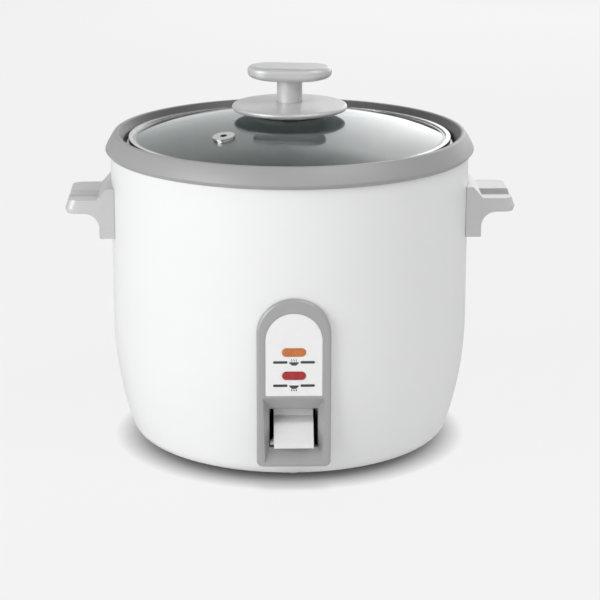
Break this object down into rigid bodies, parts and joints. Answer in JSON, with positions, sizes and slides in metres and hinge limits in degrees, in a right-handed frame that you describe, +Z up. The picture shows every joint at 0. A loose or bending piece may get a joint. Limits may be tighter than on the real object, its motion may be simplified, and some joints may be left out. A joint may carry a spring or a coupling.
{
  "type": "rice cooker",
  "caption": "Round electric rice cooker with a white tapered body, silver rim collar and side handles, glass lid with an oval knob, lift-out pan and a lever switch in a front panel.",
  "frame": {"origin": "on the cooker's vertical axis, on the floor under the rubber feet", "axes": "+Z up, -Y out of the front panel, +X towards the right-hand handle as seen from the front"},
  "size_m": [0.266, 0.2191, 0.2266],
  "materials": {
    "body_paint": "gloss",
    "silver_plastic": "satin",
    "tinted_glass": "gloss",
    "steel": "satin",
    "sheet_steel": "satin",
    "aluminium": "satin",
    "element_sheath": "matt",
    "heater_spacer": "satin",
    "label_white": "gloss",
    "amber_lens": "gloss",
    "red_lens": "gloss",
    "lever_white": "gloss",
    "black_plastic": "satin",
    "plunger_red": "gloss",
    "rubber": "matt",
    "ferrite": "matt",
    "carrier_steel": "satin",
    "lamp_glass": "gloss",
    "fuse_brass": "satin",
    "wire_cover": "satin"
  },
  "bodies": {
    "cooker": {"outer_body": "body_paint", "rim_collar": "silver_plastic", "left_handle": "silver_plastic", "right_handle": "silver_plastic", "panel_bezel": "silver_plastic", "base_screws": "steel", "handle_screws": "steel", "bezel_screws": "steel", "heater_screws": "steel", "pivot_pin": "steel", "sensor_spring": "steel", "keep_warm_thermostat": "steel", "inner_case": "sheet_steel", "base_plate": "sheet_steel", "sensor_bracket": "sheet_steel", "switch_bracket": "sheet_steel", "heating_plate": "aluminium", "heating_element": "element_sheath", "heater_legs": "heater_spacer", "panel_label": "label_white", "keep_warm_lens": "amber_lens", "cooking_lens": "red_lens", "inlet_housing": "black_plastic", "microswitch": "black_plastic", "lamp_holder": "black_plastic", "rubber_feet": "rubber", "neon_lamps": "lamp_glass", "thermal_fuse": "fuse_brass", "inlet_pins": "fuse_brass", "lead_wires": "wire_cover"},
    "pan": {"inner_pan": "aluminium"},
    "lid": {"glass_lid": "tinted_glass", "vent_ferrule": "steel", "lid_band": "steel", "knob_gasket": "rubber", "knob_flange": "silver_plastic", "lid_knob": "silver_plastic", "knob_screw": "steel", "knob_washer": "steel"},
    "lever": {"switch_lever": "lever_white", "lever_arm": "sheet_steel"},
    "plunger": {"switch_plunger": "plunger_red"},
    "sensor": {"sensor_cap": "aluminium", "ferrite_disc": "ferrite", "magnet_spring": "steel"},
    "magnet": {"magnet_carrier": "carrier_steel", "magnet": "ferrite"}
  },
  "joints": [
    {"name": "pan_lift", "type": "slide", "parent": "cooker", "child": "pan", "axis": [0, 0, 1], "range_m": [0, 0.15]},
    {"name": "lid_lift", "type": "slide", "parent": "pan", "child": "lid", "axis": [0, 0, 1], "range_m": [0, 0.1]},
    {"name": "switch_press", "type": "hinge", "parent": "cooker", "child": "lever", "pos_m": [0, -0.048, 0.03], "axis": [1, 0, 0], "range_deg": [0, 7], "stiffness_Nm_per_rad": 0.8, "springref_deg": -5.73},
    {"name": "plunger_press", "type": "slide", "parent": "cooker", "child": "plunger", "axis": [0, 0, -1], "range_m": [0, 0.0018], "stiffness_N_per_m": 0.05, "springref_m": -0.01},
    {"name": "sensor_press", "type": "slide", "parent": "cooker", "child": "sensor", "axis": [0, 0, -1], "range_m": [0, 0.002], "stiffness_N_per_m": 1500, "springref_m": -0.002, "deforming": ["sensor_spring"]},
    {"name": "magnet_lift", "type": "slide", "parent": "sensor", "child": "magnet", "axis": [0, 0, 1], "range_m": [0, 0.006], "stiffness_N_per_m": 0.1, "springref_m": 2.623, "deforming": ["magnet_spring"]}
  ],
  "couplings": [
    {"joint": "plunger_press", "follows": "switch_press", "m_per_rad": 0.0135},
    {"joint": "magnet_lift", "follows": "switch_press", "m_per_rad": 0.048}
  ]
}
